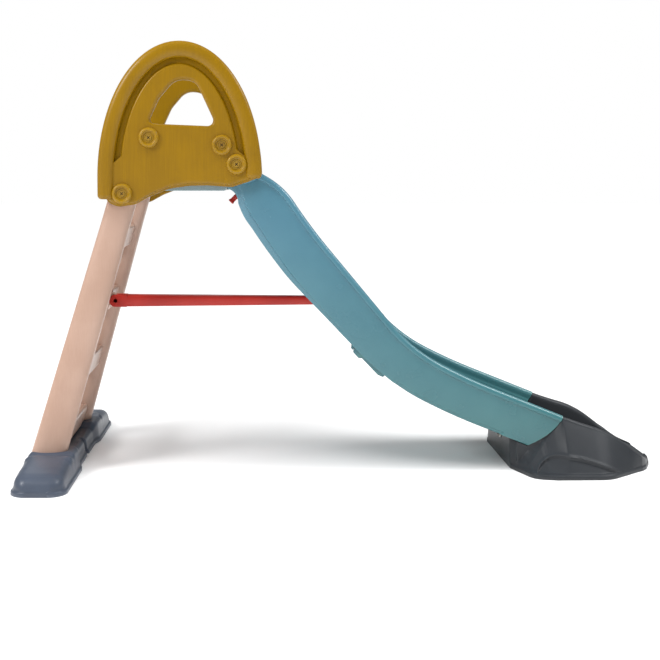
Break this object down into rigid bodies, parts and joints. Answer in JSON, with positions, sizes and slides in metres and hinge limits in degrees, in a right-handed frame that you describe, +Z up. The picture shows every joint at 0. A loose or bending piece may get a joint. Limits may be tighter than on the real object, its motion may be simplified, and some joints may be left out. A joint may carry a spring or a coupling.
{
  "type": "toddler slide",
  "caption": "Free-standing toddler slide: leaning ladder that folds, arched handrail panels, small deck, curved chute with raised sides, weighted exit foot and tie bar.",
  "frame": {"origin": "on the floor, at the middle of the slide's length and width", "axes": "+X from the ladder towards the chute's exit, +Y across the slide to the child's left as they slide down, +Z up"},
  "size_m": [1.5907, 0.744, 1.071],
  "materials": {
    "mustard_plastic": "satin moulded plastic, fine grain",
    "teal_plastic": "semi-gloss blow-moulded plastic",
    "deck_plastic": "satin moulded plastic",
    "beige_plastic": "satin moulded plastic",
    "red_plastic": "semi-gloss moulded plastic",
    "slate_plastic": "satin moulded plastic",
    "charcoal_plastic": "satin moulded plastic",
    "screw_steel": "zinc-plated steel"
  },
  "bodies": {
    "slide_frame": {"side_panel_near": "mustard_plastic", "side_panel_far": "mustard_plastic", "platform": "deck_plastic", "chute": "teal_plastic", "exit_foot": "charcoal_plastic", "pivot_cups": "mustard_plastic", "rear_cups": "mustard_plastic", "front_cups": "mustard_plastic", "chute_cups": "mustard_plastic", "pivot_screws": "screw_steel", "rear_screws": "screw_steel", "front_screws": "screw_steel", "chute_screws": "screw_steel", "pivot_nuts": "mustard_plastic", "rear_nuts": "mustard_plastic", "front_nuts": "mustard_plastic", "chute_nuts": "mustard_plastic", "hose_nipple": "red_plastic", "hose_nut": "red_plastic", "exit_screws": "screw_steel"},
    "ladder": {"rail_near": "beige_plastic", "rail_far": "beige_plastic", "step_1": "beige_plastic", "step_2": "beige_plastic", "step_3": "beige_plastic", "step_4": "beige_plastic", "ladder_foot": "slate_plastic", "foot_screws": "screw_steel"},
    "tie_bar": {"tie_bar": "red_plastic", "tie_bar_pin": "red_plastic", "tie_bar_peg": "red_plastic"}
  },
  "joints": [
    {"name": "ladder_fold", "type": "hinge", "parent": "slide_frame", "child": "ladder", "pos_m": [-0.55098, 0, 0.698], "axis": [0, 1, 0], "range_deg": [-64, 0]},
    {"name": "tie_bar_fold", "type": "hinge", "parent": "ladder", "child": "tie_bar", "pos_m": [-0.59439, 0, 0.41433], "axis": [0, 1, 0], "range_deg": [0, 98]}
  ],
  "couplings": [
    {"joint": "tie_bar_fold", "follows": "ladder_fold", "ratio": -1.5312}
  ]
}
